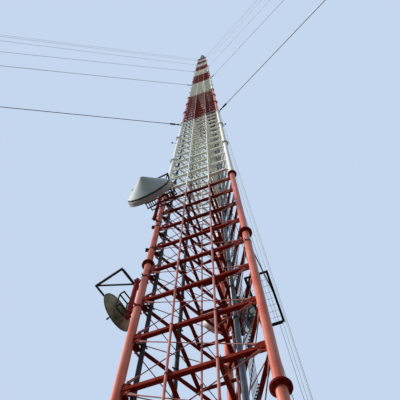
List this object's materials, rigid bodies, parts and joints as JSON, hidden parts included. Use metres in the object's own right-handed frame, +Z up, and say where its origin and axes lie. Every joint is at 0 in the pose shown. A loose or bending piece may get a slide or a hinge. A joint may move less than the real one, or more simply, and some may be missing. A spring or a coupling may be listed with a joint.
{
  "type": "scale model of a guyed radio mast",
  "caption": "Scale model of a guyed lattice radio mast: triangular column in red and white bands, stays to ground anchors, dishes and a top antenna.",
  "frame": {"origin": "centre of the flat underside of the mast's foundation, at ground level", "axes": "+Z up along the mast; the front face, between the left and right legs, looks along -Y; the back leg is on the +Y side"},
  "size_m": [15.7634, 13.6515, 25.898],
  "materials": {
    "red_paint": "satin, chalked and streaked",
    "white_paint": "satin, weathered",
    "guy_rope": "dull wire rope",
    "black_cable": "matte",
    "grey_conduit": "dull",
    "concrete": "rough cast",
    "dark_steel": "matte",
    "galvanised_steel": "galvanised",
    "panel_grey": "matte",
    "radome_skin": "satin",
    "dish_olive": "mottled, dull",
    "dish_grey": "dull"
  },
  "bodies": {
    "root": {"anchor_plates": "galvanised_steel", "antenna_column": "dark_steel", "antenna_panels": "panel_grey", "back_dish": "radome_skin", "back_dish_mount": "dark_steel", "back_guys": "guy_rope", "back_leg_red": "red_paint", "back_leg_white": "white_paint", "black_feeders": "black_cable", "feeder_bundle": "black_cable", "foundation": "concrete", "front_face_red": "red_paint", "front_face_white": "white_paint", "grey_conduit": "grey_conduit", "guy_lugs": "white_paint", "inner_anchor_blocks": "concrete", "left_face_red": "red_paint", "left_face_white": "white_paint", "left_guys": "guy_rope", "left_leg_red": "red_paint", "left_leg_white": "white_paint", "leg_shoes": "red_paint", "lightning_rod": "galvanised_steel", "open_dish": "dish_olive", "open_dish_bracket": "dark_steel", "open_dish_feed": "dark_steel", "open_dish_ice_shield": "dark_steel", "open_dish_mount": "red_paint", "outer_anchor_blocks": "concrete", "radome_bracket": "dark_steel", "radome_cover": "radome_skin", "radome_drum": "radome_skin", "radome_ice_shield": "dark_steel", "radome_mount": "dark_steel", "rear_dish": "dish_grey", "rear_dish_bracket": "dark_steel", "rear_dish_feed": "dark_steel", "rear_dish_pole": "dark_steel", "rear_ice_shield": "dark_steel", "rear_shield_mesh": "dark_steel", "rear_shield_stay": "dark_steel", "right_face_red": "red_paint", "right_face_white": "white_paint", "right_guys": "guy_rope", "right_leg_red": "red_paint", "right_leg_white": "white_paint", "shaft_frames_red": "red_paint", "shaft_frames_white": "white_paint", "shaft_guides": "red_paint", "side_lamps": "dark_steel", "top_plate": "dark_steel"}
  },
  "joints": []
}
